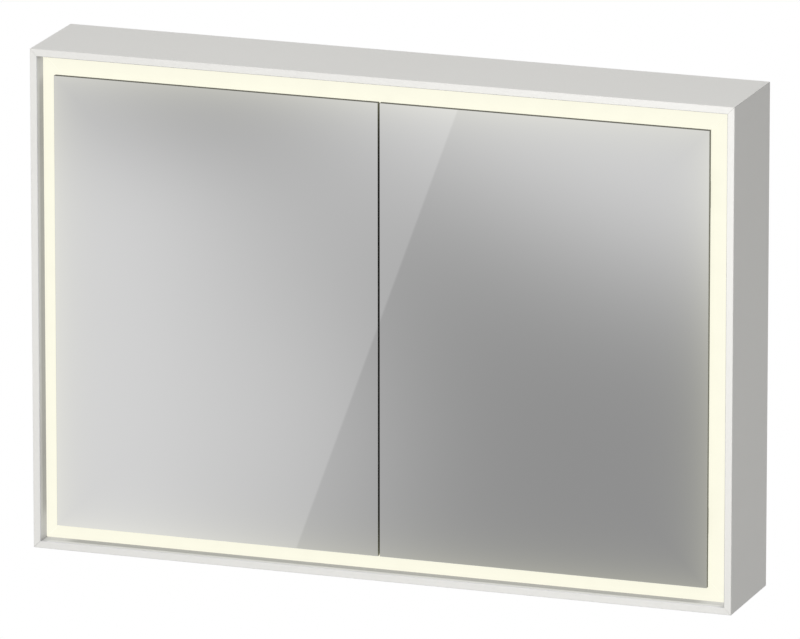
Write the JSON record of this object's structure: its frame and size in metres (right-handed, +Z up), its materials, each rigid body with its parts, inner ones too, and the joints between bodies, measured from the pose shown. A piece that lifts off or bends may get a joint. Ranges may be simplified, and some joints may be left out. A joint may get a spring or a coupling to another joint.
{
  "type": "lighted mirror cabinet",
  "caption": "Wall-hung cabinet with frameless mirror doors, a recessed luminous band all round them and glass shelves behind, in a slim white mitred casing.",
  "frame": {"origin": "middle of the back face, on the wall plane", "axes": "+X to the right seen from the front, +Y into the wall, +Z up; the doors face -Y"},
  "size_m": [1, 0.154, 0.7],
  "materials": {
    "white_coated_aluminium": "matt white powder coat",
    "tray_white_aluminium": "white coat",
    "plain_aluminium": "mill finish",
    "back_sheet": "coated sheet",
    "led_board": "white circuit strip",
    "opal_light_panel": "satin opal, lit",
    "white_lacquer_board": "white lacquer",
    "silvered_mirror": "silvered glass",
    "clear_glass": "clear polished",
    "nickel_hinge": "nickel plated",
    "nickel_pins": "nickel plated",
    "steel_fixings": "zinc plated",
    "magnet_metal": "plated magnet",
    "black_seal": "matt black",
    "black_rubber": "matt black",
    "clear_silicone": "clear silicone",
    "lead_sheath": "white sheath",
    "white_driver_case": "moulded",
    "grey_terminal": "moulded"
  },
  "bodies": {
    "cabinet": {"back_panel": "back_sheet", "back_screws": "steel_fixings", "cable_grommet": "black_rubber", "carcass_bottom": "white_lacquer_board", "carcass_left": "white_lacquer_board", "carcass_right": "white_lacquer_board", "carcass_screws": "steel_fixings", "carcass_top": "white_lacquer_board", "catch_magnets": "magnet_metal", "centre_divider": "white_lacquer_board", "corner_keys": "plain_aluminium", "diffuser_bottom": "opal_light_panel", "diffuser_left": "opal_light_panel", "diffuser_right": "opal_light_panel", "diffuser_top": "opal_light_panel", "door_bumpers": "clear_silicone", "driver_lead": "lead_sheath", "frame_bottom": "white_coated_aluminium", "frame_left": "white_coated_aluminium", "frame_right": "white_coated_aluminium", "frame_top": "white_coated_aluminium", "gap_seal": "black_seal", "hinge_left_lower_cabinet_leaf": "nickel_hinge", "hinge_left_upper_cabinet_leaf": "nickel_hinge", "hinge_pins": "steel_fixings", "hinge_right_lower_cabinet_leaf": "nickel_hinge", "hinge_right_upper_cabinet_leaf": "nickel_hinge", "hinge_screws": "steel_fixings", "led_driver": "white_driver_case", "led_lead": "lead_sheath", "led_strip_bottom": "led_board", "led_strip_left": "led_board", "led_strip_right": "led_board", "led_strip_top": "led_board", "light_tray_bottom": "tray_white_aluminium", "light_tray_left": "tray_white_aluminium", "light_tray_right": "tray_white_aluminium", "light_tray_top": "tray_white_aluminium", "mirror_back_left": "silvered_mirror", "mirror_back_right": "silvered_mirror", "shelf_left_lower": "clear_glass", "shelf_left_upper": "clear_glass", "shelf_pins": "nickel_pins", "shelf_right_lower": "clear_glass", "shelf_right_upper": "clear_glass", "strip_jumpers": "lead_sheath", "terminal_block": "grey_terminal"},
    "left_door": {"door_left_inner_mirror": "silvered_mirror", "door_left_mirror": "silvered_mirror", "hinge_left_lower_door_leaf": "nickel_hinge", "hinge_left_upper_door_leaf": "nickel_hinge", "strike_discs_left": "steel_fixings"},
    "right_door": {"door_right_inner_mirror": "silvered_mirror", "door_right_mirror": "silvered_mirror", "hinge_right_lower_door_leaf": "nickel_hinge", "hinge_right_upper_door_leaf": "nickel_hinge", "strike_discs_right": "steel_fixings"}
  },
  "joints": [
    {"name": "left_door_hinge", "type": "hinge", "parent": "cabinet", "child": "left_door", "pos_m": [-0.461, -0.142, 0], "axis": [0, 0, -1], "range_deg": [0, 110]},
    {"name": "right_door_hinge", "type": "hinge", "parent": "cabinet", "child": "right_door", "pos_m": [0.461, -0.142, 0], "axis": [0, 0, 1], "range_deg": [0, 110]}
  ]
}
